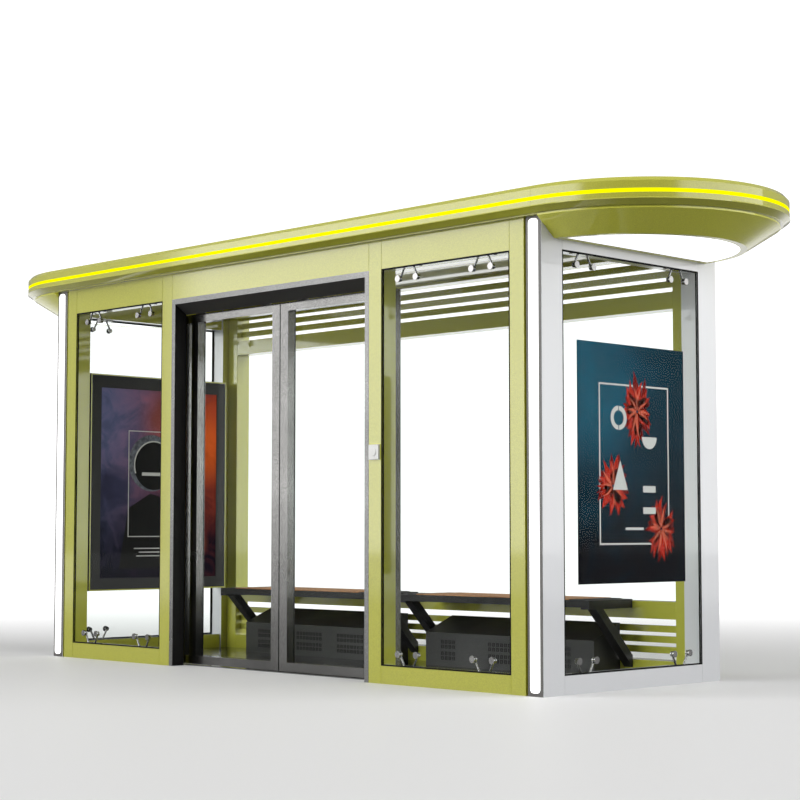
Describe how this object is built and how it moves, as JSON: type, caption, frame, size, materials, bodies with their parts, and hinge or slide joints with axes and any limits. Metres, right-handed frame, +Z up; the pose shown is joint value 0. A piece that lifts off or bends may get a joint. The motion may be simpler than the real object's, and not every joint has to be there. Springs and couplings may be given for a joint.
{
  "type": "bus shelter",
  "caption": "Glazed bus shelter with a long round-ended canopy, a two-leaf sliding door, a bench over heater boxes, louvred back wall and lit end panels.",
  "frame": {"origin": "bottom centre of the bounding box, on the ground under the middle of the canopy", "axes": "+X along the front wall, to the right as seen from outside the door; the front wall faces -Y; +Z up"},
  "size_m": [5.8196, 1.62, 2.513],
  "materials": {
    "frame_paint": "satin metallic yellow-green",
    "end_frame_paint": "satin light grey",
    "lens": "milky light diffuser",
    "seal": "matt black",
    "window_glass": "clear",
    "fitting_steel": "satin",
    "door_metal": "brushed, dull",
    "track_metal": "plain",
    "button": "satin white",
    "roof_paint": "satin metallic yellow-green",
    "ceiling_paint": "satin",
    "light_panel": "milky light diffuser",
    "rim_light": "bright yellow light strip",
    "soffit_paint": "satin metallic yellow-green",
    "print": null,
    "case_paint": "satin dark grey",
    "screen": null,
    "bench_paint": "satin black",
    "seat_wood": "oiled orange-brown",
    "heater_paint": "satin black-brown",
    "floor": "plain dark grey"
  },
  "bodies": {
    "shelter": {"floor_plate": "floor", "corner_posts": "end_frame_paint", "end_wall_beams": "end_frame_paint", "end_wall_rails": "end_frame_paint", "end_wall_glass": "window_glass", "end_wall_fittings": "fitting_steel", "corner_light_lenses": "lens", "corner_joint_strips": "seal", "front_posts": "frame_paint", "front_beams": "frame_paint", "front_rails": "frame_paint", "front_window_glass": "window_glass", "front_window_fittings": "fitting_steel", "door_jambs": "door_metal", "door_head": "door_metal", "door_track": "track_metal", "door_button": "button", "back_posts": "frame_paint", "back_rails": "frame_paint", "louvres": "frame_paint", "back_glass": "window_glass", "roof_core": "roof_paint", "ceiling_panel": "ceiling_paint", "ceiling_light": "light_panel", "front_rim": "frame_paint", "back_rim": "frame_paint", "right_rim": "frame_paint", "left_rim": "frame_paint", "rim_light_strip": "rim_light", "end_soffits": "soffit_paint", "soffit_light_panels": "light_panel", "poster_panel": "print", "display_case": "case_paint", "display_screen": "screen", "bench_frames": "bench_paint", "bench_boards": "seat_wood", "heater_boxes": "heater_paint"},
    "left_leaf": {"left_leaf_stiles": "door_metal", "left_leaf_rails": "door_metal", "left_leaf_glass": "window_glass", "left_leaf_hangers": "track_metal"},
    "right_leaf": {"right_leaf_stiles": "door_metal", "right_leaf_rails": "door_metal", "right_leaf_glass": "window_glass", "right_leaf_hangers": "track_metal"}
  },
  "joints": [
    {"name": "left_leaf_slide", "type": "slide", "parent": "shelter", "child": "left_leaf", "axis": [-1, 0, 0], "range_m": [0, 0.84]},
    {"name": "right_leaf_slide", "type": "slide", "parent": "shelter", "child": "right_leaf", "axis": [1, 0, 0], "range_m": [0, 0.84]}
  ],
  "couplings": [
    {"joint": "right_leaf_slide", "follows": "left_leaf_slide", "ratio": 1}
  ]
}
